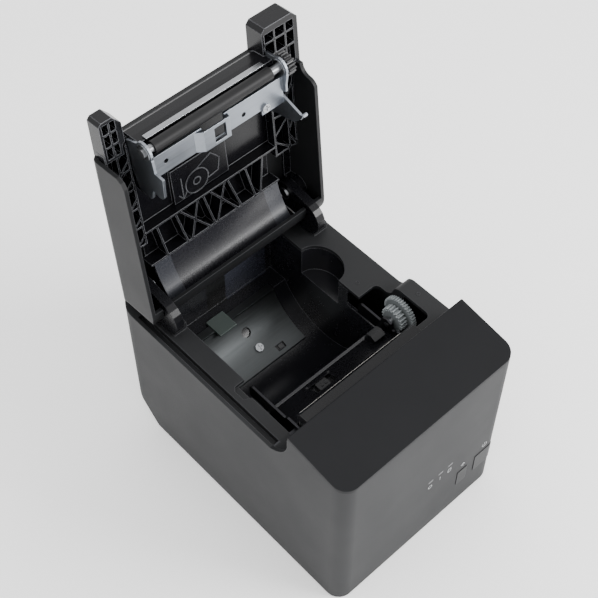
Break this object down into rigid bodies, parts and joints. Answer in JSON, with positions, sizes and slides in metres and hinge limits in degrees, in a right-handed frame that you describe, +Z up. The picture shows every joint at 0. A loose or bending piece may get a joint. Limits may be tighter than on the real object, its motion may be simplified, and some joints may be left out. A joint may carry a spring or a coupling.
{
  "type": "thermal receipt printer",
  "caption": "Desktop thermal receipt printer with its top cover open, showing the paper roll bay, platen roller and drive gears.",
  "frame": {"origin": "on the table, under the middle of the case's footprint, with the cover open at rest", "axes": "+Z up, +Y to the rear where the hinge is, +X to the right seen from the front; the cover hinge runs along X"},
  "size_m": [0.14, 0.203, 0.2732],
  "materials": {
    "case": "fine grain, matt",
    "panel": "fine grain, satin",
    "base": "matt",
    "feet": "matt",
    "screws": "satin",
    "bay": "glossy",
    "holder": "satin metallic",
    "stop": "satin",
    "steel": "satin",
    "guide": "satin",
    "sensor": "satin",
    "ceramic": "glazed",
    "heatsink": "milled",
    "cutter": "satin",
    "blade": "ground",
    "nylon": "translucent white",
    "dark_nylon": "satin",
    "motor": "satin",
    "board": "lacquered",
    "light_pipe": "clear",
    "button": "satin",
    "bracket_black": "glossy",
    "lid_black": "glossy",
    "zinc": "zinc plated",
    "roller": "matt",
    "socket_metal": "tinned",
    "socket_black": "matt",
    "supply": "matt"
  },
  "bodies": {
    "printer": {"main_case": "case", "front_panel": "panel", "base_cover": "base", "rubber_feet": "feet", "base_screws": "screws", "roll_bay": "bay", "roll_holder": "holder", "roll_stop": "stop", "holder_screw": "screws", "mechanism_frame": "steel", "paper_guide": "guide", "paper_sensor": "sensor", "thermal_head": "ceramic", "head_heatsink": "heatsink", "cutter_frame": "cutter", "feed_motor": "motor", "gear_pins": "screws", "panel_board": "board", "light_pipes": "light_pipe", "main_board": "board", "power_supply": "supply", "power_inlet": "socket_black", "usb_port": "socket_metal", "drawer_port": "socket_black", "network_port": "socket_metal", "hinge_brackets": "bracket_black"},
    "lid": {"lid_cover": "case", "lid_frame": "lid_black", "roll_guide": "lid_black", "platen_bracket": "zinc", "bracket_screws": "screws", "platen_bushes": "screws", "fixed_blade": "blade", "hinge_pins": "screws"},
    "platen": {"platen_shaft": "steel", "platen_rubber": "roller", "platen_gear": "dark_nylon"},
    "drive_gear": {"compound_gear": "nylon"},
    "middle_gear": {"reduction_gear": "nylon"},
    "pinion": {"motor_pinion": "dark_nylon"},
    "blade": {"cutter_blade": "blade"},
    "feed_key": {"feed_button": "button"},
    "power_key": {"power_button": "button"}
  },
  "joints": [
    {"name": "lid_hinge", "type": "hinge", "parent": "printer", "child": "lid", "pos_m": [0, 0.084, 0.136], "axis": [1, 0, 0], "range_deg": [0, 95]},
    {"name": "platen_spin", "type": "hinge", "parent": "lid", "child": "platen", "pos_m": [-0.00375, 0.07726, 0.25404], "axis": [1, 0, 0], "continuous": true},
    {"name": "drive_spin", "type": "hinge", "parent": "printer", "child": "drive_gear", "pos_m": [0.052, -0.0212, 0.11074], "axis": [1, 0, 0], "continuous": true},
    {"name": "middle_spin", "type": "hinge", "parent": "printer", "child": "middle_gear", "pos_m": [0.052, -0.02295, 0.0844], "axis": [1, 0, 0], "continuous": true},
    {"name": "pinion_spin", "type": "hinge", "parent": "printer", "child": "pinion", "pos_m": [0.052, -0.036, 0.072], "axis": [1, 0, 0], "continuous": true},
    {"name": "blade_slide", "type": "slide", "parent": "printer", "child": "blade", "axis": [0, 1, 0], "range_m": [0, 0.006]},
    {"name": "feed_press", "type": "slide", "parent": "printer", "child": "feed_key", "axis": [0, 1, 0], "range_m": [0, 0.0005], "stiffness_N_per_m": 500, "springref_m": -0.0005},
    {"name": "power_press", "type": "slide", "parent": "printer", "child": "power_key", "axis": [0, 1, 0], "range_m": [0, 0.0005], "stiffness_N_per_m": 500, "springref_m": -0.0005}
  ],
  "couplings": [
    {"joint": "middle_spin", "follows": "drive_spin", "ratio": -0.83333},
    {"joint": "pinion_spin", "follows": "drive_spin", "ratio": 3.3333}
  ]
}
